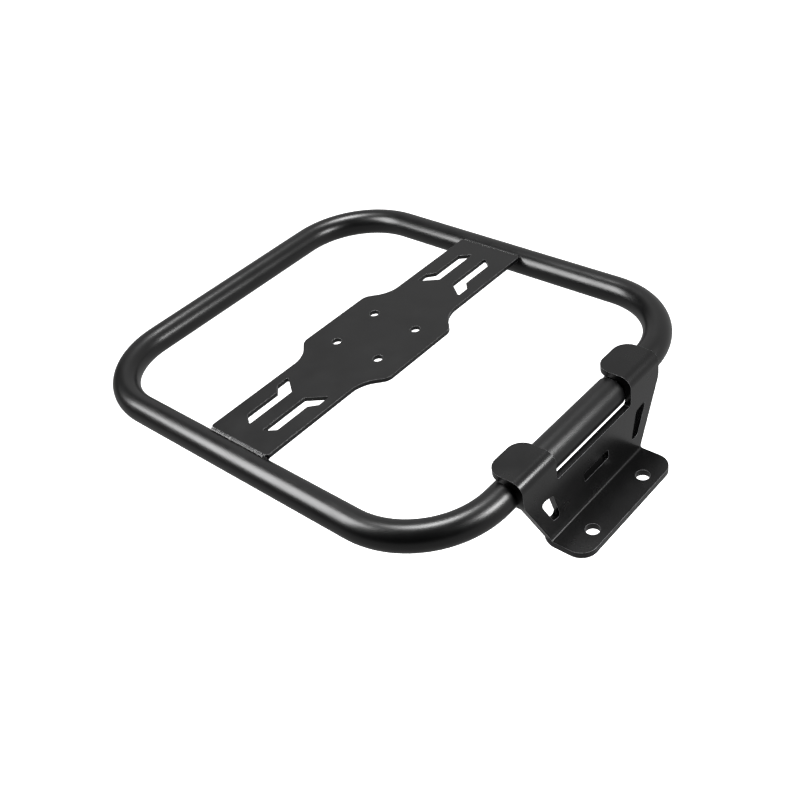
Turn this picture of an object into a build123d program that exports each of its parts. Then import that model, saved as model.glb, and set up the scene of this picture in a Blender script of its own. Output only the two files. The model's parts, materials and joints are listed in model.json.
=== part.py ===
from build123d import *
import math
import os

# Folding luggage rack: a tubular hoop with a cross plate, hinged in the two hooks of a bolt-on bracket.
# The origin is on the underside of the bracket's flange, midway between its two bolt holes.
# +X runs along the hinge bar, +Y from the bolts towards the hoop, +Z up. All sizes are in millimetres.

# Hoop of bent tube
tube_d = 25.0
tube_wall = 2.0
hoop_width = 354.0          # between the centre lines of the side bars
hoop_length = 407.0         # between the centre lines of the hinge bar and the far bar
bend_r = 76.0               # centre-line radius of the four bends
joint_gap = 2.5             # weld gap where the tube's ends meet, in the far bar
sleeve_length = 60.0
sleeve_wall = 2.0
sleeve_play = 0.05          # radial room between the sleeve and the tube's bore

# Place of the hinge bar
bar_setback = 37.9          # hinge bar behind the row of flange bolts
bar_height = 68.0           # hinge bar above the flange's underside

# Hinge and the keepers that close the hooks
hinge_play = 0.1            # radial room between the hinge bar and what holds it
spacer_t = 0.85             # wall of the spacer on the hinge bar, between the hooks
spacer_play = 0.5           # room between an end of the spacer and a hook
keeper_t = 2.0
keeper_width = 8.0
keeper_x = 67.0             # middle of a keeper, from the centre line
keeper_bead = 1.2           # leg of the keeper's weld beads

# Folded bracket
sheet_t = 6.0
fold_r = 2.0                # inside radius of the fold between web and flange
hook_bend_r = 3.5           # inside radius of the bend between web and hook
flange_width = 130.0
flange_lip = 13.3           # front edge beyond the row of bolts
flange_corner_r = 14.5
flange_hole_d = 12.0
flange_hole_spacing = 73.0
hook_x = 72.1               # middle of a hook, from the centre line
hook_width = 41.9
tongue_reach = 16.2         # end of the hook beyond the hinge bar's axis
tongue_corner_r = 13.5
web_top_drop = 7.3          # web's top edge below the hinge bar's axis
notch_corner_r = 3.0
arm_drop = 4.0              # start of the arm's taper below the hinge bar's axis
arm_corner_r = 16.0
web_slot_length = 34.0
web_slot_height = 9.0
web_slot_drop = 32.6        # middle of the slot below the hinge bar's axis
web_slot_corner_r = 2.0
arm_hole_rim = 13.3         # sheet left between the arm's edge and its hole, along X
arm_hole_top = 15.5         # upper outer corner of the hole below the hinge bar's axis
arm_hole_length = 28.5      # from that corner down to the lower outer corner
arm_hole_top_width = 15.8
arm_hole_top_dip = 3.0
arm_hole_foot_width = 9.5
arm_hole_foot_dip = 2.0
arm_hole_corner_r = 3.5

# Cross plate
plate_t = 4.0
plate_sink = 0.5            # plate's top below the top of the tube
plate_y = 211.5             # middle of the plate beyond the hinge bar's axis
plate_width = 70.0
plate_wide = 104.0          # width across the middle
plate_wide_length = 82.0    # length of the wide middle, to its corners
plate_outer_r = 11.0
plate_inner_r = 25.0
plate_corner_r = 3.0
plate_hole_d = 9.0
plate_hole_spacing = 50.0
plate_gap = 0.1             # between the plate's end and the tube, closed by the bead
slot_end_margin = 19.1      # plate left between a strap slot and the plate's end
slot_length = 49.5
slot_width = 10.7
slot_inset = 7.8            # inner edge of a strap slot from the plate's middle line
slot_flare = 6.9            # height of the slot's flared end above its outer edge
slot_neck = 7.1             # outer edge of the slot starts this far beyond its inner edge
slot_slant = 0.72           # run of the slanted slot ends per unit of height
slot_corner_r = 1.2
plate_bead_margin = 4.0     # bare end of each plate bead
plate_bead_sink = 1.0       # edges of the groove bead below the plate's top
plate_bead_crown = 0.4
under_bead = 4.5            # leg of the bead under the plate

# Stop lugs
lug_x = 77.0                # middle of a lug, from the centre line
lug_t = 5.0
lug_drop = 24.0             # lug's lower edge below the hinge bar's axis
lug_top_drop = 8.0
stop_gap = 0.15             # between a lug and the web when the hoop is level
fold_limit = 100.0          # degrees from level to folded up
stop_gap_angle = 0.8        # degrees left between lug and hook at the fold's limit
lug_bead = 2.0
lug_bead_margin = 6.0       # degrees of bare lug at each end of its bead

# Sizes that follow
tube_r = tube_d / 2
bore_r = tube_r - tube_wall
hook_r = tube_r + hinge_play
web_back = bar_setback - hook_r
web_front = web_back - sheet_t
far_y = bar_setback + hoop_length
side_x = hoop_width / 2
tongue_end = bar_setback + tongue_reach
tongue_bottom = bar_height + hook_r
tongue_top = tongue_bottom + sheet_t
plate_top = bar_height + tube_r - plate_sink
plate_bottom = plate_top - plate_t
plate_middle = bar_setback + plate_y
plate_contact = math.sqrt(tube_r**2 - (plate_bottom - bar_height)**2)
plate_half = side_x - plate_contact - plate_gap
bar_axis = Axis((0, bar_setback, bar_height), (1, 0, 0))


def arc(centre, radius, start, end):
    return CenterArc(centre, radius, start, end - start)


def prism_x(face, x_low, x_high):
    """Face drawn in (Y, Z), as a bar from x_low to x_high."""
    return extrude(Plane.YZ.offset(x_low) * face, amount=x_high - x_low)


def prism_y(face, y_low, y_high):
    """Face drawn in (X, Z), as a bar from y_low to y_high."""
    return extrude(Plane.XZ.offset(-y_high) * face, amount=y_high - y_low)


def prism_z(face, z_low, z_high):
    """Face drawn in (X, Y), as a bar from z_low to z_high."""
    return extrude(Plane.XY.offset(z_low) * face, amount=z_high - z_low)


def polygon(*points):
    return make_face(Polyline(*points, close=True))


def rounded_polygon(radius, *points):
    face = polygon(*points)
    return fillet(face.vertices(), radius)


def corner(face, x, y):
    """The vertex of a face that lies nearest to a point."""
    return face.vertices().sort_by_distance((x, y, 0))[0]


def bar_rod(x_low, x_high):
    """Solid rod of the hinge bar's outside."""
    face = Location((bar_setback, bar_height)) * Circle(tube_r)
    return prism_x(face, x_low, x_high)


def side_rod():
    """Solid rod of the right side bar's outside, beside the cross plate."""
    face = Location((side_x, bar_height)) * Circle(tube_r)
    return prism_y(face, plate_middle - plate_width, plate_middle + plate_width)


def save(name, *solids):
    shape = solids[0] if len(solids) == 1 else Compound(children=list(solids))
    export_step(shape, f"parts/{name}.step")
    volume = sum(solid.volume for solid in solids)
    print(f"{name}: {volume / 1000:.2f} cm3")


def mirrored(solid):
    return mirror(solid, about=Plane.YZ)


# Folded bracket, from its side profile and its outline seen from the front
def bracket_profile():
    fold_outer = fold_r + sheet_t
    fold_centre = (web_back - fold_outer, fold_outer)
    bend_centre = (web_back + hook_bend_r, tongue_bottom - hook_bend_r)
    edges = [
        Line((-flange_lip, 0), (fold_centre[0], 0)),
        arc(fold_centre, fold_outer, -90, 0),
        Line((web_back, fold_outer), (web_back, bend_centre[1])),
        arc(bend_centre, hook_bend_r, 180, 90),
        Line((bend_centre[0], tongue_bottom), (tongue_end, tongue_bottom)),
        Line((tongue_end, tongue_bottom), (tongue_end, tongue_top)),
        Line((tongue_end, tongue_top), (bend_centre[0], tongue_top)),
        arc(bend_centre, hook_bend_r + sheet_t, 90, 180),
        Line((web_front, bend_centre[1]), (web_front, fold_outer)),
        arc(fold_centre, fold_r, 0, -90),
        Line((fold_centre[0], sheet_t), (-flange_lip, sheet_t)),
        Line((-flange_lip, sheet_t), (-flange_lip, 0)),
    ]
    return make_face(edges)


def bracket_outline():
    foot = flange_width / 2
    inner = hook_x - hook_width / 2
    outer = hook_x + hook_width / 2
    taper_low = sheet_t + fold_r
    taper_top = bar_height - arm_drop
    notch = bar_height - web_top_drop
    over = tongue_top + sheet_t
    right = [
        (foot, -sheet_t),
        (foot, taper_low),
        (outer, taper_top),
        (outer, over),
        (inner, over),
        (inner, notch),
    ]
    left = [(-x, z) for x, z in reversed(right)]
    face = polygon(*right, *left)
    for side in (-1, 1):
        face = fillet([corner(face, side * outer, taper_top)], arm_corner_r)
        face = fillet([corner(face, side * inner, notch)], notch_corner_r)
    return face


def arm_edge(drop):
    """X of the arm's slanted edge at a depth below the hinge bar's axis."""
    foot = flange_width / 2
    outer = hook_x + hook_width / 2
    taper_length = bar_height - arm_drop - sheet_t - fold_r
    return outer - (drop - arm_drop) * (outer - foot) / taper_length


def arm_hole():
    top = arm_hole_top
    top_in = top + arm_hole_top_dip
    low = top + arm_hole_length
    foot = low + arm_hole_foot_dip
    outer_top = arm_edge(top) - arm_hole_rim
    outer_low = arm_edge(low) - arm_hole_rim
    points = [
        (outer_top, bar_height - top),
        (outer_top - arm_hole_top_width, bar_height - top_in),
        (outer_low - arm_hole_foot_width, bar_height - foot),
        (outer_low, bar_height - low),
    ]
    return rounded_polygon(arm_hole_corner_r, *points)


def mounting_bracket():
    outer = hook_x + hook_width / 2
    sheet = prism_x(bracket_profile(), -outer, outer)
    sheet = sheet & prism_y(bracket_outline(), -flange_lip - sheet_t, tongue_end + sheet_t)
    upright = sheet.edges().filter_by(Axis.Z)
    flange_corners = [edge for edge in upright if abs(edge.center().Y + flange_lip) < fold_r]
    sheet = fillet(flange_corners, flange_corner_r)
    upright = sheet.edges().filter_by(Axis.Z)
    tongue_corners = [edge for edge in upright if abs(edge.center().Y - tongue_end) < fold_r]
    sheet = fillet(tongue_corners, tongue_corner_r)
    through = (web_front - sheet_t, web_back + sheet_t)
    slot = Location((0, bar_height - web_slot_drop)) * RectangleRounded(
        web_slot_length, web_slot_height, web_slot_corner_r)
    sheet -= prism_y(slot, *through)
    hole = prism_y(arm_hole(), *through)
    sheet -= hole
    sheet -= mirrored(hole)
    bolt_row = GridLocations(flange_hole_spacing, 0, 2, 1) * Circle(flange_hole_d / 2)
    sheet -= prism_z(Sketch() + bolt_row, -sheet_t, 2 * sheet_t)
    return sheet


# Keeper strip that closes the hook under the bar, up to the tongue
def keeper():
    outer_r = hook_r + keeper_t
    centre = (bar_setback, bar_height)
    inner_y = bar_setback + hook_r
    outer_y = bar_setback + outer_r
    edges = [
        Line((web_back, bar_height - hook_r), (bar_setback, bar_height - hook_r)),
        arc(centre, hook_r, -90, 0),
        Line((inner_y, bar_height), (inner_y, tongue_bottom)),
        Line((inner_y, tongue_bottom), (outer_y, tongue_bottom)),
        Line((outer_y, tongue_bottom), (outer_y, bar_height)),
        arc(centre, outer_r, 0, -90),
        Line((bar_setback, bar_height - outer_r), (web_back, bar_height - outer_r)),
        Line((web_back, bar_height - outer_r), (web_back, bar_height - hook_r)),
    ]
    return prism_x(make_face(edges), keeper_x - keeper_width / 2, keeper_x + keeper_width / 2)


def keeper_welds():
    low = bar_height - hook_r - keeper_t
    far = bar_setback + hook_r + keeper_t
    web_bead = polygon((web_back, low), (web_back + keeper_bead, low), (web_back, low - keeper_bead))
    tongue_bead = polygon(
        (far, tongue_bottom),
        (far + keeper_bead, tongue_bottom),
        (far, tongue_bottom - keeper_bead))
    span = (keeper_x - keeper_width / 2, keeper_x + keeper_width / 2)
    return prism_x(web_bead, *span), prism_x(tongue_bead, *span)


# Hoop, bent from one tube whose ends meet in the far bar
def hoop_tube():
    points = [
        (joint_gap / 2, far_y, bar_height),
        (side_x, far_y, bar_height),
        (side_x, bar_setback, bar_height),
        (-side_x, bar_setback, bar_height),
        (-side_x, far_y, bar_height),
        (-joint_gap / 2, far_y, bar_height),
    ]
    path = FilletPolyline(*points, radius=bend_r)
    ring = Circle(tube_r) - Circle(bore_r)
    return sweep(Plane(origin=points[0], z_dir=(1, 0, 0)) * ring, path=path)


def bar_ring(bar_y, outer_r, inner_r, length):
    """Ring about the axis of the hinge bar or the far bar, midway along it."""
    face = Location((bar_y, bar_height)) * (Circle(outer_r) - Circle(inner_r))
    return prism_x(face, -length / 2, length / 2)


# Cross plate, drawn about its own middle
def plate_outline():
    half = plate_width / 2
    wide = plate_wide / 2
    corner_x = plate_wide_length / 2
    foot_x = corner_x + wide - half
    quarter = [(plate_half, half), (foot_x, half), (corner_x, wide)]
    upper = quarter + [(-x, y) for x, y in reversed(quarter)]
    lower = [(x, -y) for x, y in reversed(upper)]
    face = polygon(*upper, *lower)
    for x_side in (-1, 1):
        for y_side in (-1, 1):
            face = fillet([corner(face, x_side * corner_x, y_side * wide)], plate_outer_r)
            face = fillet([corner(face, x_side * foot_x, y_side * half)], plate_inner_r)
            face = fillet([corner(face, x_side * plate_half, y_side * half)], plate_corner_r)
    return face


def strap_slot():
    end = plate_half - slot_end_margin
    start = end - slot_length
    outer = slot_inset + slot_width
    top = outer + slot_flare
    neck = start + slot_neck
    points = [
        (start, slot_inset),
        (end, slot_inset),
        (end - slot_slant * slot_width, outer),
        (neck, outer),
        (neck - slot_flare, top),
        (start - slot_slant * (top - slot_inset), top),
    ]
    return rounded_polygon(slot_corner_r, *points)


def cross_plate():
    face = plate_outline()
    holes = GridLocations(plate_hole_spacing, plate_hole_spacing, 2, 2) * Circle(plate_hole_d / 2)
    face -= Sketch() + holes
    slot = strap_slot()
    upper = Sketch() + [slot, mirror(slot, about=Plane.YZ)]
    face -= upper
    face -= mirror(upper, about=Plane.XZ)
    return prism_z(Location((0, plate_middle)) * face, plate_bottom, plate_top)


def plate_welds(side):
    """Groove bead at the plate's end and fillet bead under it."""
    bead_top = plate_top - plate_bead_sink
    tube_x = side_x - math.sqrt(tube_r**2 - (bead_top - bar_height)**2)
    groove = make_face([
        Line((plate_half, plate_bottom), (plate_half, bead_top)),
        ThreePointArc(
            (plate_half, bead_top),
            ((plate_half + tube_x) / 2, bead_top + plate_bead_crown),
            (tube_x, bead_top)),
        Line((tube_x, bead_top), (side_x, plate_bottom)),
        Line((side_x, plate_bottom), (plate_half, plate_bottom)),
    ])
    heel = plate_half - under_bead
    toe = side_x - math.sqrt(tube_r**2 - (plate_bottom - under_bead - bar_height)**2)
    under = polygon((heel, plate_bottom), (side_x, plate_bottom), (toe, plate_bottom - under_bead))
    half = plate_width / 2 - plate_bead_margin
    span = (plate_middle - half, plate_middle + half)
    beads = []
    for face in (groove, under):
        bead = prism_y(face, *span) - side_rod()
        beads.append(bead if side > 0 else mirrored(bead))
    return beads


# Stop lug: its front edge meets the web, its radial rear edge meets the end of the hook
def lug_rear_angle():
    return math.degrees(math.atan2(hook_r, tongue_reach)) - fold_limit - stop_gap_angle


def stop_lug():
    rear = math.radians(lug_rear_angle())
    low = bar_height - lug_drop
    face = polygon(
        (bar_setback, bar_height),
        (bar_setback - lug_drop / math.tan(rear), low),
        (web_back + stop_gap, low),
        (web_back + stop_gap, bar_height - lug_top_drop))
    return prism_x(face, lug_x - lug_t / 2, lug_x + lug_t / 2) - bar_rod(0, side_x)


def lug_welds():
    front = math.degrees(math.atan2(-lug_top_drop, stop_gap - hook_r))
    rear = lug_rear_angle() - lug_bead_margin
    sweep_angle = rear - (front + lug_bead_margin)
    beads = []
    for side in (-1, 1):
        face_x = lug_x + side * lug_t / 2
        section = polygon(
            (face_x, bar_setback + tube_r, bar_height),
            (face_x + side * lug_bead, bar_setback + tube_r, bar_height),
            (face_x, bar_setback + tube_r + lug_bead, bar_height))
        start = section.rotate(bar_axis, front + lug_bead_margin)
        beads.append(revolve(start, axis=bar_axis, revolution_arc=sweep_angle))
    return beads


os.makedirs("parts", exist_ok=True)

save("mounting_bracket", mounting_bracket())
for name, solids in (("keeper", [keeper()]), ("keeper_weld", keeper_welds())):
    save(f"right_{name}", *solids)
    save(f"left_{name}", *[mirrored(solid) for solid in solids])

save("hoop_tube", hoop_tube())
save("joint_weld", bar_ring(far_y, tube_r, bore_r, joint_gap))
sleeve_r = bore_r - sleeve_play
save("joint_sleeve", bar_ring(far_y, sleeve_r, sleeve_r - sleeve_wall, sleeve_length))
spacer_length = 2 * (hook_x - hook_width / 2 - spacer_play)
save("hinge_spacer", bar_ring(bar_setback, tube_r + spacer_t, tube_r, spacer_length))

save("cross_plate", cross_plate())
save("right_plate_weld", *plate_welds(1))
save("left_plate_weld", *plate_welds(-1))
for name, solids in (("stop_lug", [stop_lug()]), ("lug_weld", lug_welds())):
    save(f"right_{name}", *solids)
    save(f"left_{name}", *[mirrored(solid) for solid in solids])
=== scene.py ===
# %% [markdown]
# # A luggage rack that folds up
# The rack is a hoop of black tube with a slotted plate welded across it. One bar of the hoop lies in two
# broad hooks of a folded bracket, and the bracket is bolted down by its flange. The sizes and the hinge
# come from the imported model. It is loaded first and never moved, and everything below dresses it.

# %% Load the frame
import json
import math

import bmesh
import bpy
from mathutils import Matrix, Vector


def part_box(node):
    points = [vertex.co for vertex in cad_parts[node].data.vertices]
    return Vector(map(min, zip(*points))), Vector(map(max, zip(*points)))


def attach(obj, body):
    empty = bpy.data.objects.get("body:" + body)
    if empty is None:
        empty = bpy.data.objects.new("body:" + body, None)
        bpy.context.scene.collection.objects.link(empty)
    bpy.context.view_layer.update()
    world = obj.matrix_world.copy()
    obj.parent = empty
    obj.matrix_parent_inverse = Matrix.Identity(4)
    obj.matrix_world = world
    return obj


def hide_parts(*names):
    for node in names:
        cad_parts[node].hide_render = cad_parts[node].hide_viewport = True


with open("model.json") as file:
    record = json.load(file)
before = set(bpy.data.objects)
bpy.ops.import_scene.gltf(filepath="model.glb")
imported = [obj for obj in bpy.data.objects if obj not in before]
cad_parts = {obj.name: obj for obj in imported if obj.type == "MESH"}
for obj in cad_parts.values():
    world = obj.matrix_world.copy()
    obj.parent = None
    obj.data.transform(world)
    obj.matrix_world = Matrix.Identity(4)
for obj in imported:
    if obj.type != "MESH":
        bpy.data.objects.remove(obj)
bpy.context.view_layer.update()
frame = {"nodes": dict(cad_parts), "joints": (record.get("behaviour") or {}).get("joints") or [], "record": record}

mm = 0.001

# %% [markdown]
# ## Measure the frame
# A piece that stands for a node has to lie where the node lies, so the main sizes are read from the nodes'
# boxes and from the record's mounts and hinge. They could be typed in again, but then the two models could
# drift apart. The curves of the frame are facets, so a length across one is rounded to a tenth of a
# millimetre.


# %% Sizes read from the frame
def measured(length):
    """A length on the facets of a round piece, to the nearest 0.1 mm."""
    step = 0.1 * mm
    return round(length / step) * step


mounts = {mount["name"]: mount for mount in frame["record"]["mounts"]}
hinge = Vector(frame["joints"][0]["pos_m"])
hoop_low, hoop_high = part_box("hoop_tube")
bracket_low, bracket_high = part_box("mounting_bracket")
plate_low, plate_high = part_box("cross_plate")
tube_r = measured((hoop_high.z - hoop_low.z) / 2)
side_x = measured(hoop_high.x) - tube_r
far_y = measured(hoop_high.y) - tube_r
print(f"tube {2000 * tube_r:.1f} mm, hoop {2000 * side_x:.1f} mm wide, hinge at {tuple(hinge)}")

# %% [markdown]
# ## The camera
# The photograph looks down on the rack from the front left, and the camera is turned a little about its own
# line of sight. The place, the lens and that turn were worked out from straight edges of the rack. A camera
# that tracks a target would stand upright, so the turn is put on after it has been aimed.

# %% Camera
camera_place = Vector((-0.5248, -0.3481, 0.6247))
camera_target = Vector((-0.0481, 0.1804, 0.0680))
camera_roll = math.radians(-10.55)
camera_lens = 48.56
bpy.ops.object.select_all(action="DESELECT")
bpy.ops.object.camera_add(location=camera_place)
camera = bpy.context.object
camera.name = "camera"
camera.data.lens = camera_lens
camera.data.clip_start = 10 * mm
camera.rotation_euler = (camera_target - camera_place).to_track_quat("-Z", "Y").to_euler()
camera.rotation_euler.rotate_axis("Z", camera_roll)
bpy.context.scene.camera = camera
print(f"camera {1000 * (camera_target - camera_place).length:.0f} mm from the middle of the picture")

# %% [markdown]
# ## Floor and light
# The rack hangs clear over a plain white floor that glows evenly, like a light table, so it throws no
# shadow that could be mistaken for a piece. Black paint shows little but what it mirrors. A white floor
# would fill every underside, so the floor is kept out of the reflections, as a black flag does in a studio.
# Three soft boxes make the streaks on the tube: one far overhead, one behind on the left, one in front.
# A pale wall on the right and the glow of the floor fill the flats, and it is dark beside the camera.

# %% Floor
floor_drop = 0.6
floor_size = 40.0
bpy.ops.object.select_all(action="DESELECT")
bpy.ops.mesh.primitive_plane_add(size=floor_size, location=(0, 0, -floor_drop))
floor = bpy.context.object
floor.name = "floor"
floor.visible_glossy = False
floor.visible_diffuse = False
floor_paint = bpy.data.materials.new("white_floor")
floor_paint.use_nodes = True
floor_shader = floor_paint.node_tree.nodes["Principled BSDF"]
floor_shader.inputs["Base Color"].default_value = (0.9, 0.9, 0.9, 1)
floor_shader.inputs["Roughness"].default_value = 0.9
floor_shader.inputs["Emission Color"].default_value = (1, 1, 1, 1)
floor_shader.inputs["Emission Strength"].default_value = 1.0
floor.data.materials.append(floor_paint)
print("floor", floor_drop, "m below the flange")


# %% Studio sky
def link(tree, source, target):
    """Join the output of one node to the input of another."""
    tree.links.new(source, target)


def side_glow(tree, place, way, start, stop, dark, bright):
    """Glow that rises from dark to bright as the view turns toward a direction."""
    toward = tree.nodes.new("ShaderNodeVectorMath")
    toward.operation = "DOT_PRODUCT"
    toward.inputs[1].default_value = way
    glow = tree.nodes.new("ShaderNodeMapRange")
    glow.inputs["From Min"].default_value = start
    glow.inputs["From Max"].default_value = stop
    glow.inputs["To Min"].default_value = dark
    glow.inputs["To Max"].default_value = bright
    link(tree, place.outputs["Generated"], toward.inputs[0])
    link(tree, toward.outputs["Value"], glow.inputs["Value"])
    return glow.outputs["Result"]


# The sky is grey paint, and what the camera sees of it is lit until it is white.
sky_grey = 0.8


def studio_sky():
    """Pale wall on one side, dark on the other, a glow from below, and white where the camera looks."""
    world = bpy.data.worlds.new("studio")
    world.use_nodes = True
    tree = world.node_tree
    tree.nodes.clear()
    place = tree.nodes.new("ShaderNodeTexCoord")
    wall = side_glow(tree, place, way=(0.963, -0.088, -0.254), start=0.0, stop=0.27, dark=0.0, bright=0.6)
    ground = side_glow(tree, place, way=(0.85, -0.53, 0), start=0.0, stop=1.0, dark=0.45, bright=0.66)
    horizon = side_glow(tree, place, way=(0, 0, 1), start=-0.25, stop=0.05, dark=0.0, bright=1.0)
    around = tree.nodes.new("ShaderNodeMix")
    path = tree.nodes.new("ShaderNodeLightPath")
    seen = tree.nodes.new("ShaderNodeMix")
    seen.inputs["B"].default_value = 1 / sky_grey
    sky = tree.nodes.new("ShaderNodeBackground")
    sky.inputs["Color"].default_value = (sky_grey, sky_grey, sky_grey, 1)
    out = tree.nodes.new("ShaderNodeOutputWorld")
    link(tree, horizon, around.inputs["Factor"])
    link(tree, ground, around.inputs["A"])
    link(tree, wall, around.inputs["B"])
    link(tree, path.outputs["Is Camera Ray"], seen.inputs["Factor"])
    link(tree, around.outputs["Result"], seen.inputs["A"])
    link(tree, seen.outputs["Result"], sky.inputs["Strength"])
    link(tree, sky.outputs[0], out.inputs[0])
    bpy.context.scene.world = world


studio_sky()
bpy.context.scene.view_settings.view_transform = "Standard"
print("sky:", bpy.context.scene.world.name)


# %% Soft boxes
def soft_box(name, place, aim, width, height, radiance):
    """Rectangle of light; its power follows from how bright its face looks."""
    bpy.ops.object.select_all(action="DESELECT")
    bpy.ops.object.light_add(type="AREA", location=place)
    box = bpy.context.object
    box.name = name
    box.data.shape = "RECTANGLE"
    box.data.size = width
    box.data.size_y = height
    box.data.energy = radiance * math.pi * width * height
    box.rotation_euler = (Vector(aim) - Vector(place)).to_track_quat("-Z", "Y").to_euler()
    box.visible_camera = False
    print(name, "at", tuple(place), f"{box.data.energy:.1f} W")


hoop_middle = (0, 0.24, 0.07)
soft_box("overhead_box", (0.42, 0.60, 2.65), hoop_middle, width=0.72, height=0.98, radiance=31)
soft_box("back_box", (-0.48, 0.66, 0.62), hoop_middle, width=0.44, height=0.58, radiance=15)
soft_box("front_box", (0.17, -0.49, 0.49), hoop_middle, width=0.35, height=0.25, radiance=26)

# %% [markdown]
# ## Helpers of the bench
# The same few moves make every piece: put a primitive at its place, select edges or faces by where they
# lie, run an operator, apply a modifier. They are written once here. The moves could be done with raw
# vertex lists, but then the steps of the maker could no longer be read from the script.


# %% Selecting and applying
touch = 0.02 * mm
flat_angle = math.radians(0.2)


def choose(*pieces):
    """Select these pieces and no others; the first becomes the active one."""
    bpy.ops.object.select_all(action="DESELECT")
    for piece in pieces:
        piece.select_set(True)
    if pieces:
        bpy.context.view_layer.objects.active = pieces[0]


def settle(name):
    """Name the new primitive and put its place into its mesh."""
    piece = bpy.context.object
    piece.name = name
    piece.data.name = name
    bpy.ops.object.transform_apply(location=True, rotation=True, scale=True)
    return piece


def edit(piece):
    """Open one piece in edit mode with nothing of it selected."""
    choose(piece)
    bpy.ops.object.mode_set(mode="EDIT")
    bpy.ops.mesh.select_mode(type="VERT")
    bpy.ops.mesh.select_all(action="DESELECT")


def close():
    """Leave edit mode."""
    bpy.ops.object.mode_set(mode="OBJECT")


def pick(kind, test, along=None):
    """Select the vertices, edges or faces all of whose corners pass the test; say how many.

    Edges can also be asked to run along a direction."""
    bpy.ops.mesh.select_mode(type=kind)
    bpy.ops.mesh.select_all(action="DESELECT")
    mesh = bmesh.from_edit_mesh(bpy.context.object.data)
    members = {"EDGE": mesh.edges, "FACE": mesh.faces}.get(kind, mesh.verts)
    found = 0
    for member in members:
        corners = [corner.co for corner in ([member] if kind == "VERT" else member.verts)]
        astray = along and (corners[1] - corners[0]).cross(along).length > touch
        if all(test(corner) for corner in corners) and not astray:
            member.select_set(True)
            found += 1
    mesh.select_flush_mode()
    bmesh.update_edit_mesh(bpy.context.object.data)
    return found


def near(value, goal):
    """Do two lengths count as one?"""
    return abs(value - goal) < touch


def modify(piece, kind, **settings):
    """Add a modifier, set it and apply it at once."""
    modifier = piece.modifiers.new(kind.lower(), kind)
    for name, value in settings.items():
        setattr(modifier, name, value)
    choose(piece)
    bpy.ops.object.modifier_apply(modifier=modifier.name)


def weld_flats(piece):
    """Merge doubled corners and dissolve the lines that lie inside flat faces."""
    edit(piece)
    bpy.ops.mesh.select_all(action="SELECT")
    bpy.ops.mesh.remove_doubles(threshold=touch)
    bpy.ops.mesh.dissolve_limited(angle_limit=flat_angle)
    close()


def cut(piece, cutter, operation="DIFFERENCE"):
    """Cut a piece with another, which is used up."""
    modify(piece, "BOOLEAN", object=cutter, operation=operation, solver="EXACT")
    bpy.data.objects.remove(cutter)
    weld_flats(piece)


print(f"points within {1000 * touch:.2f} mm count as one")


# %% Pulling, swinging and facing
def pull(way):
    """Extrude what is selected."""
    bpy.ops.mesh.extrude_region_move(TRANSFORM_OT_translate={"value": way})


def swing(steps, angle, centre, axis, **settings):
    """Spin what is selected by the right-hand rule; the operator itself counts the other way."""
    bpy.ops.mesh.spin(steps=steps, angle=-angle, center=centre, axis=axis, **settings)


def merge_doubles():
    """Close the seams that spinning leaves in the open piece."""
    bpy.ops.mesh.select_all(action="SELECT")
    bpy.ops.mesh.remove_doubles(threshold=touch / 2)


def face_outwards():
    """Turn every face of the open piece outwards."""
    bpy.ops.mesh.select_all(action="SELECT")
    bpy.ops.mesh.normals_make_consistent(inside=False)


def face_down(piece, before_y):
    """Turn an open sheet over if the flat part that lies before a place faces up."""
    faces = bmesh.from_edit_mesh(piece.data).faces
    flat = next(face for face in faces if face.calc_center_median().y < before_y)
    if flat.normal.z > 0:
        bpy.ops.mesh.flip_normals()


quarter = math.pi / 2
lying = (0, quarter, 0)
print("a bend is a quarter turn, and a ring on the bar lies on its side:", lying)


# %% Blocks, outlines and rounded corners
facet_degrees = 7.5
fewest_facets = 3
bore_sides = 48


def block(name, low, high):
    """Cube from its lowest to its highest corner."""
    low, high = Vector(low), Vector(high)
    choose()
    bpy.ops.mesh.primitive_cube_add(size=1, location=(low + high) / 2)
    bpy.ops.transform.resize(value=high - low)
    return settle(name)


def arc_steps(turn):
    """Number of facets that an arc of this turn gets."""
    return max(fewest_facets, math.ceil(math.degrees(turn) / facet_degrees))


def round_edges(test, radius, turn=quarter, along=Vector((0, 0, 1))):
    """Round the edges along a direction that pass the test; the turn is that of the outline there."""
    found = pick("EDGE", test, along)
    bpy.ops.mesh.bevel(
        offset_type="OFFSET", offset=radius * math.tan(turn / 2), segments=arc_steps(turn),
        profile=0.5, affect="EDGES", clamp_overlap=False)
    return found


def trace(name, points, depth, radii):
    """Walk one vertex round an outline, fill it, pull it out to a prism and round its corners."""
    points = [Vector(point) for point in points]
    depth = Vector(depth)
    choose()
    bpy.ops.mesh.primitive_plane_add(size=mm, location=points[0])
    piece = settle(name)
    edit(piece)
    bpy.ops.mesh.select_all(action="SELECT")
    bpy.ops.mesh.merge(type="CENTER")
    for before, after in zip(points, points[1:]):
        bpy.ops.mesh.extrude_vertices_move(TRANSFORM_OT_translate={"value": after - before})
    bpy.ops.mesh.select_all(action="SELECT")
    bpy.ops.mesh.edge_face_add()
    pull(depth)
    face_outwards()
    for i, (point, radius) in enumerate(zip(points, radii)):
        if radius:
            ahead = points[(i + 1) % len(points)] - point
            turn = (point - points[i - 1]).angle(ahead)
            along = depth.normalized()
            round_edges(lambda co: (co - point).cross(along).length < touch, radius, turn, along)
    close()
    return piece


def round_bore(name, centre, radius, depth):
    """Cylinder along Z for drilling a hole."""
    choose()
    bpy.ops.mesh.primitive_cylinder_add(vertices=bore_sides, radius=radius, depth=depth, location=centre)
    return settle(name)


print("an arc has a facet for every", facet_degrees, "degrees")


# %% Soft edges and dressing
sharp_angle = math.radians(35)


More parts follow.
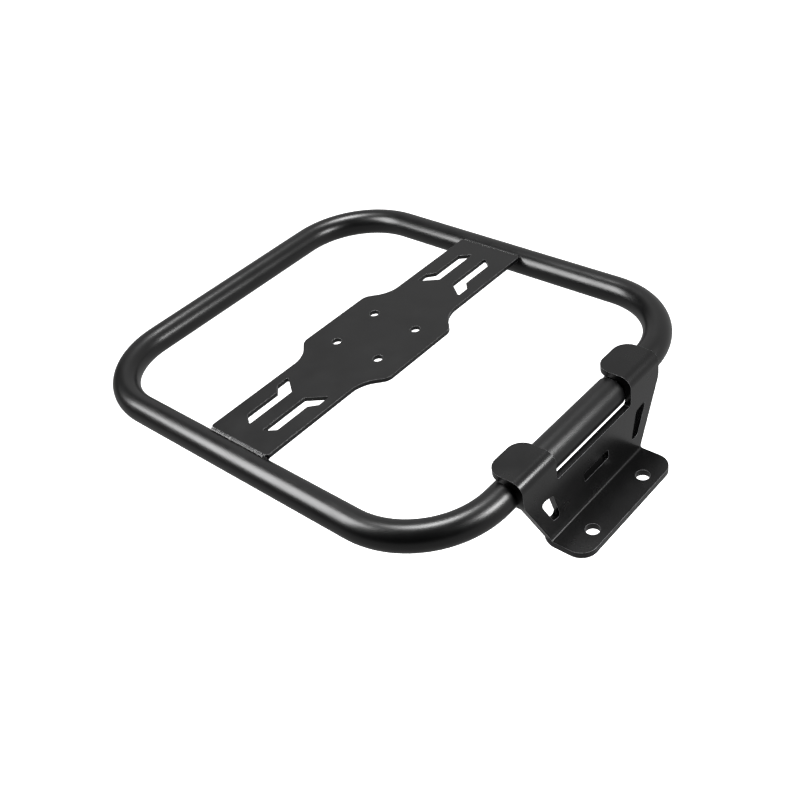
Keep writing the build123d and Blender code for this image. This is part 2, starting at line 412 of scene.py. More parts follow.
def soften(piece, width):
    """Round every sharp edge a little, keep the flats flat, and mark the rounds as the attribute edge."""
    flat_slot, round_slot = 0, 1
    for slot in (flat_slot, round_slot):
        piece.data.materials.append(None)
    modify(
        piece, "BEVEL", width=width, segments=3, limit_method="ANGLE", angle_limit=sharp_angle,
        use_clamp_overlap=False, material=round_slot)
    bpy.ops.object.shade_smooth()
    modify(piece, "WEIGHTED_NORMAL", keep_sharp=False, weight=50)
    piece.data.attributes.new("edge", "FLOAT", "FACE")
    marks = piece.data.attributes["edge"].data
    for face in piece.data.polygons:
        marks[face.index].value = float(face.material_index == round_slot)
        face.material_index = flat_slot
    piece.data.materials.clear()


def dress(piece, body, slot, *nodes):
    """Let the piece ride, stand for its nodes and take its finish."""
    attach(piece, body)
    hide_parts(*nodes)
    piece.data.materials.clear()
    piece.data.materials.append(finish[slot])
    faces = len(piece.data.polygons)
    size = [round(1000 * side, 1) for side in piece.dimensions]
    print(f"{piece.name}: {faces} faces, {size} mm")


print(f"edges that turn by more than {math.degrees(sharp_angle):.0f} degrees are rounded")


# %% [markdown]
# ## Powder coat
# All the steel is powder coated in satin black. The coat is not a flat colour: the baked powder leaves a
# fine skin like the peel of an orange, and how far it flowed differs a little from place to place. Both are
# shared by every painted piece, so they are one node group with a height, a mottle and a speck going out.


# %% Shared powder skin
def powder_skin():
    """Height of the peel, mottle of the gloss and fine specks of the colour."""
    group = bpy.data.node_groups.new("powder_skin", "ShaderNodeTree")
    sockets = group.interface
    sockets.new_socket("Place", in_out="INPUT", socket_type="NodeSocketVector")
    sockets.new_socket("Peel Scale", in_out="INPUT", socket_type="NodeSocketFloat")
    sockets.new_socket("Mottle Scale", in_out="INPUT", socket_type="NodeSocketFloat")
    for name in ("Height", "Mottle", "Speck"):
        sockets.new_socket(name, in_out="OUTPUT", socket_type="NodeSocketFloat")
    given = group.nodes.new("NodeGroupInput")
    result = group.nodes.new("NodeGroupOutput")
    peel = group.nodes.new("ShaderNodeTexNoise")
    peel.inputs["Detail"].default_value = 3.0
    peel.inputs["Roughness"].default_value = 0.6
    mottle = group.nodes.new("ShaderNodeTexNoise")
    mottle.inputs["Detail"].default_value = 4.0
    mottle.inputs["Roughness"].default_value = 0.55
    speck_scale = group.nodes.new("ShaderNodeMath")
    speck_scale.operation = "MULTIPLY"
    speck_scale.inputs[1].default_value = 2.7
    grain = group.nodes.new("ShaderNodeTexVoronoi")
    grain.feature = "F1"
    speck = group.nodes.new("ShaderNodeMapRange")
    speck.inputs["From Min"].default_value = 0.05
    speck.inputs["From Max"].default_value = 0.35
    speck.inputs["To Min"].default_value = 1.0
    speck.inputs["To Max"].default_value = 0.0
    for texture in (peel, mottle, grain):
        link(group, given.outputs["Place"], texture.inputs["Vector"])
    link(group, given.outputs["Peel Scale"], peel.inputs["Scale"])
    link(group, given.outputs["Mottle Scale"], mottle.inputs["Scale"])
    link(group, given.outputs["Peel Scale"], speck_scale.inputs[0])
    link(group, speck_scale.outputs[0], grain.inputs["Scale"])
    link(group, grain.outputs["Distance"], speck.inputs["Value"])
    link(group, peel.outputs["Fac"], result.inputs["Height"])
    link(group, mottle.outputs["Fac"], result.inputs["Mottle"])
    link(group, speck.outputs["Result"], result.inputs["Speck"])
    return group


skin = powder_skin()
print("group", skin.name, "with outputs", [socket.name for socket in skin.interface.items_tree][:3])

# %% [markdown]
# ## Painted highlight on the edges
# The rounded cut edges catch the lamps in fine light lines. These glints are painted in: the rounded edges get
# a paler grey, a painted highlight, and a roughness of their own. Edges are often found from the curvature of
# the surface, but an exported model can't keep that. Here the rounding of the edges has marked its own faces,
# and the group turns those marks into a mask that comes and goes along each edge.


# %% Mask of the painted edge highlight
def thin_edge():
    """Mask of the rounded edges for the painted highlight, uneven along each edge."""
    group = bpy.data.node_groups.new("thin_edge", "ShaderNodeTree")
    sockets = group.interface
    sockets.new_socket("Place", in_out="INPUT", socket_type="NodeSocketVector")
    sockets.new_socket("Edge", in_out="INPUT", socket_type="NodeSocketFloat")
    sockets.new_socket("Mask", in_out="OUTPUT", socket_type="NodeSocketFloat")
    given = group.nodes.new("NodeGroupInput")
    result = group.nodes.new("NodeGroupOutput")
    along = group.nodes.new("ShaderNodeTexNoise")
    along.inputs["Scale"].default_value = 120.0
    along.inputs["Detail"].default_value = 2.0
    amount = group.nodes.new("ShaderNodeMapRange")
    amount.inputs["From Min"].default_value = 0.35
    amount.inputs["From Max"].default_value = 0.65
    amount.inputs["To Min"].default_value = 0.45
    amount.inputs["To Max"].default_value = 1.0
    mask = group.nodes.new("ShaderNodeMath")
    mask.operation = "MULTIPLY"
    link(group, given.outputs["Place"], along.inputs["Vector"])
    link(group, along.outputs["Fac"], amount.inputs["Value"])
    link(group, amount.outputs["Result"], mask.inputs[0])
    link(group, given.outputs["Edge"], mask.inputs[1])
    link(group, mask.outputs[0], result.inputs["Mask"])
    return group


edge_highlight_group = thin_edge()
print("group", edge_highlight_group.name, "with output", edge_highlight_group.interface.items_tree[0].name)

# %% [markdown]
# ## Black finishes
# Tube, plate, sheet, spacer and welds were coated together, but they don't shine alike: bent tube is smooth,
# the plate's coat is a little rougher, and the welds are painted a lighter grey, a painted highlight for the
# glints on their scales. One setting for all of them would look dead.
# So one function takes each finish's own greys, roughness and grain, and places both groups in it.


# %% Finishes of the painted pieces
# Paler grey mixed into the rounded edges: a painted highlight that stands in for their glints.
edge_highlight_grey = (0.12, 0.12, 0.124, 1)
edge_gloss = 0.3


def powder_coat(name, dark, light, smooth, rough, peel_scale, peel_depth, mottle_scale=45.0):
    """Satin black coat between two greys and two roughnesses, with a fine skin and a painted highlight on the
    edges.
    """
    material = bpy.data.materials.new(name)
    material.use_nodes = True
    tree = material.node_tree
    shader = tree.nodes["Principled BSDF"]
    place = tree.nodes.new("ShaderNodeTexCoord")
    surface = tree.nodes.new("ShaderNodeGroup")
    surface.node_tree = skin
    surface.inputs["Peel Scale"].default_value = peel_scale
    surface.inputs["Mottle Scale"].default_value = mottle_scale
    shade = tree.nodes.new("ShaderNodeMix")
    shade.data_type = "RGBA"
    shade.inputs["A"].default_value = (*dark, 1)
    shade.inputs["B"].default_value = (*light, 1)
    gloss = tree.nodes.new("ShaderNodeMapRange")
    gloss.inputs["From Min"].default_value = 0.3
    gloss.inputs["From Max"].default_value = 0.7
    gloss.inputs["To Min"].default_value = smooth
    gloss.inputs["To Max"].default_value = rough
    bump = tree.nodes.new("ShaderNodeBump")
    bump.inputs["Strength"].default_value = 1.0
    bump.inputs["Distance"].default_value = peel_depth
    marked = tree.nodes.new("ShaderNodeAttribute")
    marked.attribute_name = "edge"
    edge_highlight_node = tree.nodes.new("ShaderNodeGroup")
    edge_highlight_node.node_tree = edge_highlight_group
    # The rounded edges are mixed toward the paler grey, a painted highlight.
    edge_highlight_mix = tree.nodes.new("ShaderNodeMix")
    edge_highlight_mix.data_type = "RGBA"
    edge_highlight_mix.inputs["B"].default_value = edge_highlight_grey
    glossier = tree.nodes.new("ShaderNodeMix")
    glossier.inputs["B"].default_value = edge_gloss
    link(tree, place.outputs["Object"], surface.inputs["Place"])
    link(tree, place.outputs["Object"], edge_highlight_node.inputs["Place"])
    link(tree, marked.outputs["Fac"], edge_highlight_node.inputs["Edge"])
    link(tree, edge_highlight_node.outputs["Mask"], edge_highlight_mix.inputs["Factor"])
    link(tree, edge_highlight_node.outputs["Mask"], glossier.inputs["Factor"])
    link(tree, surface.outputs["Speck"], shade.inputs["Factor"])
    link(tree, shade.outputs["Result"], edge_highlight_mix.inputs["A"])
    link(tree, edge_highlight_mix.outputs["Result"], shader.inputs["Base Color"])
    link(tree, surface.outputs["Mottle"], gloss.inputs["Value"])
    link(tree, gloss.outputs["Result"], glossier.inputs["A"])
    link(tree, glossier.outputs["Result"], shader.inputs["Roughness"])
    link(tree, surface.outputs["Height"], bump.inputs["Height"])
    link(tree, bump.outputs["Normal"], shader.inputs["Normal"])
    return material


black = {"dark": (0.0010, 0.0010, 0.0011), "light": (0.0022, 0.0022, 0.0023)}
plate_black = {"dark": (0.0012, 0.0012, 0.0013), "light": (0.0028, 0.0028, 0.0029)}
# Welds get a lighter grey than the coat: a painted highlight for the bright glints along the beads.
weld_highlight_grey = {"dark": (0.008, 0.008, 0.0085), "light": (0.02, 0.02, 0.021)}
fine_skin = {"peel_scale": 900, "peel_depth": 0.008 * mm}
sheet_skin = {"peel_scale": 1000, "peel_depth": 0.008 * mm}
plate_skin = {"peel_scale": 1200, "peel_depth": 0.01 * mm}
finish = {
    "painted_tube": powder_coat("painted_tube", **black, smooth=0.29, rough=0.34, **fine_skin),
    "painted_plate": powder_coat("painted_plate", **plate_black, smooth=0.30, rough=0.36, **plate_skin),
    "painted_sheet": powder_coat("painted_sheet", **black, smooth=0.23, rough=0.28, **sheet_skin),
    "painted_spacer": powder_coat("painted_spacer", **black, smooth=0.32, rough=0.37, **fine_skin),
    "painted_weld": powder_coat("painted_weld", **weld_highlight_grey, smooth=0.24, rough=0.30, **fine_skin),
}
print("finishes:", sorted(finish))

# %% [markdown]
# ## The hoop
# The real hoop is one tube, run through a bender four times until its ends meet in the middle of the far
# bar, where they are welded over a sleeve and ground flush. A curve with a round bevel would look alike.
# Here a ring is walked round instead, with an extrude for each straight and a spin for each bend, because
# that leaves even rings of faces on the bends, and the seam closes where the ring meets its start.

# %% Hoop tube
bend_r = 76 * mm
ring_sides = 72
bend_steps = 28
choose()
bpy.ops.mesh.primitive_circle_add(
    vertices=ring_sides, radius=tube_r, location=(0, far_y, hinge.z), rotation=lying)
hoop = settle("hoop")
edit(hoop)
bpy.ops.mesh.select_all(action="SELECT")
half_run = side_x - bend_r
side_run = far_y - hinge.y - 2 * bend_r
middle_y = (far_y + hinge.y) / 2
runs = [
    ((-1, 0, 0), half_run),
    ((0, -1, 0), side_run),
    ((1, 0, 0), 2 * half_run),
    ((0, 1, 0), side_run),
]
bends = [(-1, 1), (-1, -1), (1, -1), (1, 1)]
for (way, length), (x_side, y_side) in zip(runs, bends):
    pull(Vector(way) * length)
    centre = (x_side * half_run, middle_y + y_side * side_run / 2, hinge.z)
    swing(bend_steps, quarter, centre, axis=(0, 0, 1))
pull((-half_run, 0, 0))
merge_doubles()
face_outwards()
close()
bpy.ops.object.shade_smooth()
dress(hoop, "hoop", "painted_tube", "hoop_tube", "joint_weld")

# %% [markdown]
# ## The spacer on the hinge bar
# Between the hooks the bar wears a thin tube, just long enough to keep the hoop from sliding sideways. It
# makes the bar a little thicker there. A cylinder would show no end wall, so a ring is pulled out along the
# bar, the shell gets its wall inwards with Solidify, and both rims are rounded.

# %% Hinge spacer
spacer_low, spacer_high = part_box("hinge_spacer")
spacer_r = (spacer_high.z - spacer_low.z) / 2
spacer_rim = 0.2 * mm
choose()
bpy.ops.mesh.primitive_circle_add(
    vertices=ring_sides, radius=spacer_r, location=(spacer_low.x, hinge.y, hinge.z), rotation=lying)
spacer = settle("spacer")
edit(spacer)
bpy.ops.mesh.select_all(action="SELECT")
pull((spacer_high.x - spacer_low.x, 0, 0))
face_outwards()
close()
modify(spacer, "SOLIDIFY", thickness=spacer_r - tube_r, offset=-1, use_even_offset=True)
soften(spacer, spacer_rim)
dress(spacer, "hoop", "painted_spacer", "hinge_spacer")

# %% [markdown]
# ## The cross plate
# The plate is cut from flat sheet: a strip, wider in the middle for a square of four bolts, with a pair of
# kinked strap slots at each end. A flat outline could be filled and pulled up in one go. Here a block is
# cut across by bisecting planes and its middle is widened, which shows where the shoulders come from. The
# slots and holes are cut through afterwards with traced shapes, so each keeps its own corner radius.

# %% Plate blank
plate_y = (plate_low.y + plate_high.y) / 2
plate_half = plate_high.x
plate_width = 70 * mm
plate_wide = plate_high.y - plate_low.y
wide_x = 41 * mm
shoulder_r = 11 * mm
foot_r = 25 * mm
plate_corner_r = 3 * mm
shoulder_turn = math.pi / 4
foot_x = wide_x + (plate_wide - plate_width) / 2
plate = block(
    "plate",
    (-plate_half, plate_y - plate_width / 2, plate_low.z),
    (plate_half, plate_y + plate_width / 2, plate_high.z))
edit(plate)
for x in (-foot_x, -wide_x, wide_x, foot_x):
    bpy.ops.mesh.select_all(action="SELECT")
    bpy.ops.mesh.bisect(plane_co=(x, 0, 0), plane_no=(1, 0, 0))
pick("VERT", lambda co: abs(co.x) < wide_x + touch)
bpy.ops.transform.resize(value=(1, plate_wide / plate_width, 1), center_override=(0, plate_y, hinge.z))
close()
weld_flats(plate)
print("plate blank", len(plate.data.polygons), "faces")


# %% Round the plate's corners
def on_plate(x, y):
    """Test for the four upright edges at these distances from the plate's middle."""
    return lambda co: near(abs(co.x), x) and near(abs(co.y - plate_y), y)


edit(plate)
shoulders = round_edges(on_plate(wide_x, plate_wide / 2), shoulder_r, shoulder_turn)
feet = round_edges(on_plate(foot_x, plate_width / 2), foot_r, shoulder_turn)
ends = round_edges(on_plate(plate_half, plate_width / 2), plate_corner_r)
close()
print("rounded", shoulders, "shoulders,", feet, "feet and", ends, "end corners")

# %% Strap slots and bolt holes
slot_rim = 19.1 * mm
slot_length = 49.5 * mm
slot_width = 10.7 * mm
slot_low = 7.8 * mm
flare_height = 6.9 * mm
flare_width = 7.1 * mm
slot_slant = 0.72
slot_corner_r = 1.2 * mm
plate_rim = 0.16 * mm
slot_end = plate_half - slot_rim
slot_start = slot_end - slot_length
slot_high = slot_low + slot_width
slot_tip = slot_high + flare_height
slot_neck = slot_start + flare_width
strap_slot = [
    (slot_start, slot_low),
    (slot_end, slot_low),
    (slot_end - slot_slant * (slot_high - slot_low), slot_high),
    (slot_neck, slot_high),
    (slot_neck - (slot_tip - slot_high), slot_tip),
    (slot_start - slot_slant * (slot_tip - slot_low), slot_tip),
]
cutter_start = 5 * mm
cutter_depth = 13 * mm
bore_depth = 20 * mm
under_plate = plate_low.z - cutter_start
through_plate = (0, 0, cutter_depth)
for x_side in (-1, 1):
    for y_side in (-1, 1):
        outline = [(x_side * x, plate_y + y_side * y, under_plate) for x, y in strap_slot]
        cut(plate, trace("slot_cutter", outline, through_plate, [slot_corner_r] * len(outline)))
plate_bolts = mounts["plate_bolts"]["dims"]
bolt_x = plate_bolts["spacing_x_mm"] * mm / 2
bolt_y = plate_bolts["spacing_y_mm"] * mm / 2
for x in (-bolt_x, bolt_x):
    for y in (-bolt_y, bolt_y):
        centre = (x, plate_y + y, plate_low.z)
        cut(plate, round_bore("bolt_bore", centre, plate_bolts["hole_r_mm"] * mm, bore_depth))
soften(plate, plate_rim)
dress(plate, "hoop", "painted_plate", "cross_plate")

# %% [markdown]
# ## The folded bracket
# The bracket is one thick sheet with two bends: the flange turns up into the web, and the web turns over at
# the top into two hooks. It is modelled as it is folded. A plane is the flange, its edge is spun round the
# fold, pulled up as the web, spun round the hook's bend and pulled out as the tongue. The sheet then gets
# its thickness, and its outline, notch and holes are cut through it, as a laser would cut the blank.

# %% Fold the sheet
fold_r = 2 * mm
hook_bend_r = 3.5 * mm
hinge_play = 0.1 * mm
blank_margin = 2 * mm
fold_steps = 12
bracket_half = bracket_high.x
flange_front = bracket_low.y
tongue_end = bracket_high.y
tongue_low = hinge.z + tube_r + hinge_play
sheet_t = bracket_high.z - tongue_low
web_back = hinge.y - tube_r - hinge_play
fold_outer = fold_r + sheet_t
fold_y = web_back - fold_outer
bend_y = web_back + hook_bend_r
bend_z = tongue_low - hook_bend_r
choose()
bpy.ops.mesh.primitive_plane_add(size=1, location=(0, (flange_front + fold_y) / 2, 0))
bpy.ops.transform.resize(value=(2 * (bracket_half + blank_margin), fold_y - flange_front, 1))
bracket = settle("bracket")
edit(bracket)
pick("EDGE", lambda co: near(co.y, fold_y))
swing(fold_steps, quarter, (0, fold_y, fold_outer), axis=(1, 0, 0))
pull((0, 0, bend_z - fold_outer))
swing(fold_steps, -quarter, (0, bend_y, bend_z), axis=(1, 0, 0))
pull((0, tongue_end - bend_y, 0))
merge_doubles()
face_outwards()
face_down(bracket, fold_y)
close()
modify(bracket, "SOLIDIFY", thickness=sheet_t, offset=-1, use_even_offset=True)
print("folded sheet", [round(1000 * side, 1) for side in bracket.dimensions], "mm")

# %% Cut the outline and round the corners
flange_half = 65 * mm
hook_inner = 51.15 * mm
taper_drop = 4 * mm
notch_drop = 7.3 * mm
hip_r = 16 * mm
notch_r = 3 * mm
flange_corner_r = 14.5 * mm
tongue_corner_r = 13.5 * mm
taper_top = hinge.z - taper_drop
notch_z = hinge.z - notch_drop
above = tongue_low + 3 * sheet_t
outline_right = [
    (flange_half, -sheet_t, 0),
    (flange_half, fold_outer, 0),
    (bracket_half, taper_top, hip_r),
    (bracket_half, above, 0),
    (hook_inner, above, 0),
    (hook_inner, notch_z, notch_r),
]
outline = outline_right + [(-x, z, radius) for x, z, radius in reversed(outline_right)]
cut_from = flange_front - sheet_t
cut_through = (0, tongue_end + sheet_t - cut_from, 0)
outline_points = [(x, cut_from, z) for x, z, radius in outline]
outline_radii = [radius for x, z, radius in outline]
cut(bracket, trace("outline", outline_points, cut_through, outline_radii), "INTERSECT")
edit(bracket)
flange_corners = round_edges(
    lambda co: near(co.y, flange_front) and near(abs(co.x), flange_half), flange_corner_r)
tongue_corners = round_edges(
    lambda co: near(co.y, tongue_end) and any(near(abs(co.x), side) for side in (hook_inner, bracket_half)),
    tongue_corner_r)
close()
print("rounded", flange_corners, "flange corners and", tongue_corners, "tongue corners")


# %% Slot, arm holes and bolt holes
def arm_edge(z):
    """X of the arm's slanted edge at a height."""
    taper = (bracket_half - flange_half) / (taper_top - fold_outer)
    return bracket_half - (taper_top - z) * taper


web_slot_half = 17 * mm
web_slot_low = hinge.z - 37.1 * mm
web_slot_high = hinge.z - 28.1 * mm
web_slot_r = 2 * mm
web_slot = [
    (-web_slot_half, web_slot_low),
    (web_slot_half, web_slot_low),
    (web_slot_half, web_slot_high),
    (-web_slot_half, web_slot_high),
]
hole_rim = 13.3 * mm
hole_drop = 15.5 * mm
hole_height = 28.5 * mm
hole_top_width = 15.8 * mm
hole_top_fall = 3 * mm
hole_low_width = 9.5 * mm
hole_low_fall = 2 * mm
hole_r = 3.5 * mm
hole_top = hinge.z - hole_drop
hole_low = hole_top - hole_height
hole_top_x = arm_edge(hole_top) - hole_rim
hole_low_x = arm_edge(hole_low) - hole_rim
arm_hole = [
    (hole_top_x, hole_top),
    (hole_top_x - hole_top_width, hole_top - hole_top_fall),
    (hole_low_x - hole_low_width, hole_low - hole_low_fall),
    (hole_low_x, hole_low),
]
bracket_rim = 0.2 * mm
web_cut_from = web_back - 2 * sheet_t
web_cut = (0, 3 * sheet_t, 0)


def cut_web(points, radius):
    """Cut a traced hole through the web, with all its corners rounded."""
    corners = [(x, web_cut_from, z) for x, z in points]
    cut(bracket, trace("web_cutter", corners, web_cut, [radius] * len(corners)))


cut_web(web_slot, web_slot_r)
for x_side in (-1, 1):
    cut_web([(x_side * x, z) for x, z in arm_hole], hole_r)
flange_bolts = mounts["flange_bolts"]["dims"]
for x_side in (-1, 1):
    centre = (x_side * flange_bolts["spacing_x_mm"] * mm / 2, 0, sheet_t / 2)
    cut(bracket, round_bore("bolt_bore", centre, flange_bolts["hole_r_mm"] * mm, 4 * sheet_t))
soften(bracket, bracket_rim)
dress(bracket, "bracket", "painted_sheet", "mounting_bracket")

# %% [markdown]
# ## A black card for the hooks
# The back box is there for the streaks on the tube. Seen from in front on the right, the flat top of a hook
# would mirror the whole face of that box and turn as white as the floor. In a studio a black card would be
# held between them. Moving the box would move the streaks, so light linking keeps it off the bracket.

# %% Keep the back box off the bracket
carded = bpy.data.collections.new("carded")
carded.objects.link(bracket)
for member in carded.collection_objects:
    member.light_linking.link_state = "EXCLUDE"
bpy.data.objects["back_box"].light_linking.receiver_collection = carded

# %% [markdown]
# ## Weld beads of the plate
# The plate's ends are welded to the side bars from above, in the groove beside the tube, and from below. A
# weld is laid in small pools, each set a little further on, so it looks like a row of scales. One scale is
# a sphere, squashed and leant over. An array repeats it, a remesh melts the row into one skin, and a little
# noise makes it uneven. A smooth half-round bar would be quicker, but no weld looks so even.


# %% Scales, rows and one skin
def scale_row(name, start, half_sizes, lean, step, count):
    """Row of leaning scales of weld from a start point."""
    choose()
    bpy.ops.mesh.primitive_uv_sphere_add(segments=20, ring_count=10, radius=1, location=start)
    bpy.ops.transform.resize(value=half_sizes)
    bpy.context.object.rotation_euler = lean
    row = settle(name)
    if count > 1:
        modify(
            row, "ARRAY", count=count, use_relative_offset=False, use_constant_offset=True,
            constant_offset_displace=step)
    return row


def join(name, pieces):
    """Make one piece of several."""
    choose(*pieces)
    bpy.ops.object.join()
    pieces[0].name = name
    pieces[0].data.name = name
    return pieces[0]


unevenness = bpy.data.textures.new("unevenness", "CLOUDS")
unevenness.noise_scale = 2.2 * mm


def melt(piece, voxel, rough):
    """Melt overlapping scales into one uneven skin."""
    modify(piece, "REMESH", mode="VOXEL", voxel_size=voxel)
    modify(piece, "DISPLACE", texture=unevenness, texture_coords="GLOBAL", strength=rough, mid_level=0.5)
    modify(piece, "SMOOTH", factor=0.5, iterations=1)
    bpy.ops.object.shade_smooth()


def mirror_copy(piece):
    """Copy with its own mesh, mirrored to the left half of the rack."""
    choose(piece)
    bpy.ops.object.duplicate(linked=False)
    bpy.ops.transform.resize(value=(-1, 1, 1), center_override=(0, 0, 0))
    copy = settle(piece.name.replace("right", "left"))
    edit(copy)
    face_outwards()
    close()
    return copy


def dress_pair(right, body, slot, node):
    """Copy the right piece to the left, and dress both."""
    left = mirror_copy(right)
    dress(right, body, slot, "right_" + node)
    dress(left, body, slot, "left_" + node)


print(f"weld skin is uneven over {1000 * unevenness.noise_scale:.1f} mm")


# %% Beads in the groove and under the plate
bead_end_gap = 3.5 * mm
bead_half = plate_width / 2 - bead_end_gap
scale_step = 1.55 * mm
blob_swell = 1.25
bead_grain = 0.24 * mm
bead_rough = 0.35 * mm
scale_count = round(2 * bead_half / scale_step) + 1
lean_back = (math.radians(28), 0, 0)
lean_over = (math.radians(20), math.radians(15), 0)
groove_x = plate_half + 1.2 * mm
crown_z = plate_high.z - 0.8 * mm
root_z = plate_high.z - 2.4 * mm
under_x = plate_half - 1.2 * mm
under_z = plate_low.z - 1.2 * mm
rows = []
for name, x, z, half_sizes, lean in (
    ("crown_row", groove_x, crown_z, (2.0 * mm, 1.1 * mm, 0.85 * mm), lean_over),
    ("root_row", groove_x, root_z, (2.0 * mm, 1.3 * mm, 1.3 * mm), lean_back),
    ("under_row", under_x, under_z, (2.9 * mm, 1.6 * mm, 2.3 * mm), lean_back),
):
    start = (x, plate_y - bead_half, z)
    rows.append(scale_row(name, start, half_sizes, lean, (0, scale_step, 0), scale_count))
    for end in (-1, 1):
        blob = [blob_swell * half for half in half_sizes]
        rows.append(scale_row("end_blob", (x, plate_y + end * bead_half, z), blob, lean, (0, 0, 0), 1))
right_bead = join("right_plate_bead", rows)
melt(right_bead, bead_grain, bead_rough)
dress_pair(right_bead, "hoop", "painted_weld", "plate_weld")

# %% [markdown]
# ## Keepers
# Under each hook a narrow strip closes the bar's seat, so that the hoop can turn but not drop out. It runs
# from the web under the bar and up to the tongue. It could be cut from a ring, but it is folded like the
# bracket, because that is how the strip is made: a plane, a spin round the bar and an edge pulled up. Short
# beads hold it at both ends. They are made of the same scales, set along X.

# %% Keeper strips
keeper_low, keeper_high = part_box("right_keeper")
keeper_t = 2 * mm
keeper_steps = 16
keeper_rim = 0.3 * mm
keeper_width = keeper_high.x - keeper_low.x
choose()
keeper_middle = ((keeper_low.x + keeper_high.x) / 2, (web_back + hinge.y) / 2, keeper_low.z)
bpy.ops.mesh.primitive_plane_add(size=1, location=keeper_middle)
bpy.ops.transform.resize(value=(keeper_width, hinge.y - web_back, 1))
right_keeper = settle("right_keeper_strip")
edit(right_keeper)
pick("EDGE", lambda co: near(co.y, hinge.y))
swing(keeper_steps, quarter, hinge, axis=(1, 0, 0))
pull((0, 0, tongue_low - hinge.z))
face_outwards()
face_down(right_keeper, hinge.y)
close()
modify(right_keeper, "SOLIDIFY", thickness=keeper_t, offset=-1, use_even_offset=True)
soften(right_keeper, keeper_rim)
dress_pair(right_keeper, "bracket", "painted_sheet", "keeper")

# %% Keeper beads
bead_r = 1.0 * mm
bead_sink = bead_r / 3
bead_step = 1.1 * mm
keeper_bead_grain = 0.16 * mm
keeper_bead_rough = 0.2 * mm
bead_count = round((keeper_width - 2 * bead_r) / bead_step) + 1
lean_aside = (0, math.radians(28), 0)
half_sizes = (0.85 * bead_r, bead_r, bead_r)
at_web = (web_back + bead_sink, keeper_low.z - bead_sink)
at_tongue = (keeper_high.y + bead_sink, tongue_low - bead_sink)
rows = []
for y, z in (at_web, at_tongue):
    start = (keeper_low.x + bead_r, y, z)
    rows.append(scale_row("keeper_row", start, half_sizes, lean_aside, (bead_step, 0, 0), bead_count))
right_keeper_bead = join("right_keeper_bead", rows)
melt(right_keeper_bead, keeper_bead_grain, keeper_bead_rough)
dress_pair(right_keeper_bead, "bracket", "painted_weld", "keeper_weld")

# %% [markdown]
# ## Stop lugs
# A lug of thick sheet is welded under the bar inside each hook. Its front edge leans on the web when the
# hoop is level, and its rear edge meets the tongue when the hoop is folded up. The flat shape is traced,
# pulled out to its thickness, and the bar's round is cut out of it. Beads run round the bar on both faces:
# there a scale is spun round the hinge with copies, because an array only runs straight.

# %% Lugs
lug_low, lug_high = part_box("right_stop_lug")
lug_top_drop = 8 * mm
lug_rim = 0.4 * mm
lug_top_z = hinge.z - lug_top_drop
lug_outline = [
    (lug_low.x, hinge.y, hinge.z),
    (lug_low.x, lug_high.y, lug_low.z),
    (lug_low.x, lug_low.y, lug_low.z),
    (lug_low.x, lug_low.y, lug_top_z),
]
lug_t = lug_high.x - lug_low.x
right_lug = trace("right_lug", lug_outline, (lug_t, 0, 0), (0, 0, 0, 0))
choose()
bpy.ops.mesh.primitive_cylinder_add(
    vertices=ring_sides, radius=tube_r, depth=4 * lug_t, location=(lug_low.x, hinge.y, hinge.z),
    rotation=lying)
cut(right_lug, settle("bar_cutter"))
soften(right_lug, lug_rim)
dress_pair(right_lug, "hoop", "painted_sheet", "stop_lug")

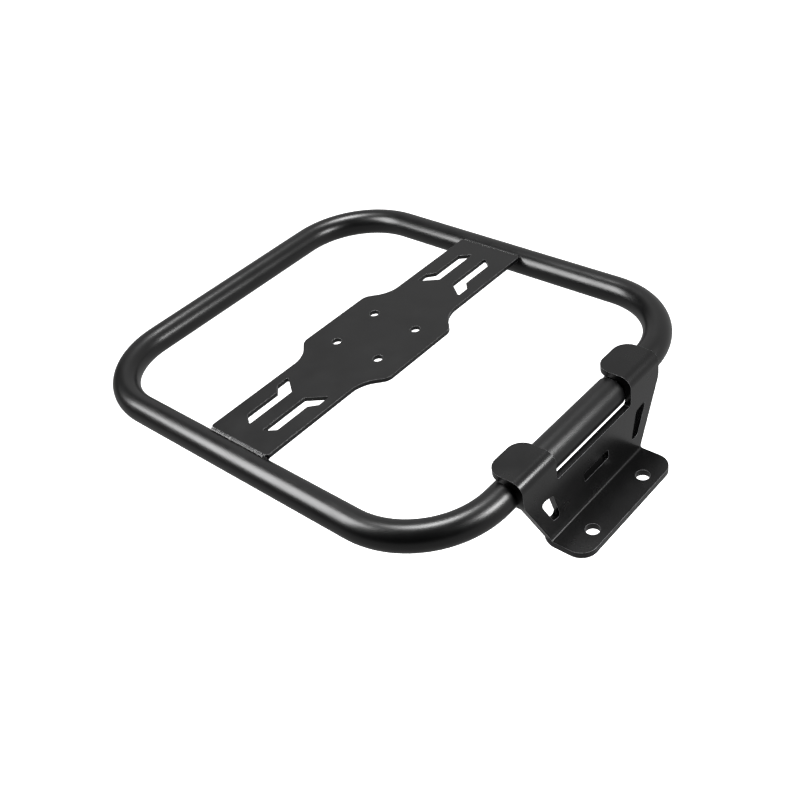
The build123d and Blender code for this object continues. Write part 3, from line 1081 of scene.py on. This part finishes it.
# %% Lug beads
lug_bead_r = 1.3 * mm
lug_bead_sink = lug_bead_r / 4
lug_bead_step = 1.2 * mm
lug_bead_grain = 0.2 * mm
lug_bead_rough = 0.25 * mm
bead_margin = math.radians(7)
front_angle = math.atan2(lug_top_z - hinge.z, lug_low.y - hinge.y)
rear_angle = math.atan2(lug_low.z - hinge.z, lug_high.y - hinge.y)
bead_turn = rear_angle - front_angle - 2 * bead_margin
bead_path_r = tube_r + lug_bead_sink
bead_copies = round(bead_turn * bead_path_r / lug_bead_step)
angle = front_angle + bead_margin
half_sizes = (lug_bead_r, lug_bead_r, 0.8 * lug_bead_r)
rows = []
for x in (lug_low.x - lug_bead_sink, lug_high.x + lug_bead_sink):
    start = (x, hinge.y + bead_path_r * math.cos(angle), hinge.z + bead_path_r * math.sin(angle))
    row = scale_row("lug_row", start, half_sizes, (angle, 0, 0), (0, 0, 0), 1)
    edit(row)
    bpy.ops.mesh.select_all(action="SELECT")
    swing(bead_copies, bead_turn, hinge, axis=(1, 0, 0), dupli=True)
    close()
    rows.append(row)
right_lug_bead = join("right_lug_bead", rows)
melt(right_lug_bead, lug_bead_grain, lug_bead_rough)
dress_pair(right_lug_bead, "hoop", "painted_weld", "lug_weld")

# %% [markdown]
# ## The sleeve in the joint
# A short drawn tube sits inside the far bar and carries the butt joint. Nobody sees it, but a reader who
# opens the hoop should find steel. It could be modelled again, but a plain drawn tube has nothing to add, so
# the node keeps its shape and gets a drawn finish: grey metal whose roughness runs in fine lines along the
# tube.


# %% Drawn steel
def drawn_steel(name):
    """Grey steel with fine lines along X."""
    material = bpy.data.materials.new(name)
    material.use_nodes = True
    tree = material.node_tree
    shader = tree.nodes["Principled BSDF"]
    shader.inputs["Metallic"].default_value = 1.0
    place = tree.nodes.new("ShaderNodeTexCoord")
    stretch = tree.nodes.new("ShaderNodeMapping")
    stretch.inputs["Scale"].default_value = (20, 1500, 1500)
    lines = tree.nodes.new("ShaderNodeTexNoise")
    lines.inputs["Scale"].default_value = 1.0
    lines.inputs["Detail"].default_value = 3.0
    gloss = tree.nodes.new("ShaderNodeMapRange")
    gloss.inputs["To Min"].default_value = 0.25
    gloss.inputs["To Max"].default_value = 0.45
    shade = tree.nodes.new("ShaderNodeMix")
    shade.data_type = "RGBA"
    shade.inputs["A"].default_value = (0.45, 0.45, 0.46, 1)
    shade.inputs["B"].default_value = (0.6, 0.6, 0.61, 1)
    link(tree, place.outputs["Object"], stretch.inputs["Vector"])
    link(tree, stretch.outputs["Vector"], lines.inputs["Vector"])
    link(tree, lines.outputs["Fac"], gloss.inputs["Value"])
    link(tree, lines.outputs["Fac"], shade.inputs["Factor"])
    link(tree, gloss.outputs["Result"], shader.inputs["Roughness"])
    link(tree, shade.outputs["Result"], shader.inputs["Base Color"])
    return material


finish["bare_steel"] = drawn_steel("bare_steel")
sleeve = frame["nodes"]["joint_sleeve"]
sleeve.data.materials.clear()
sleeve.data.materials.append(finish["bare_steel"])
print("sleeve", [round(1000 * side, 1) for side in sleeve.dimensions], "mm")
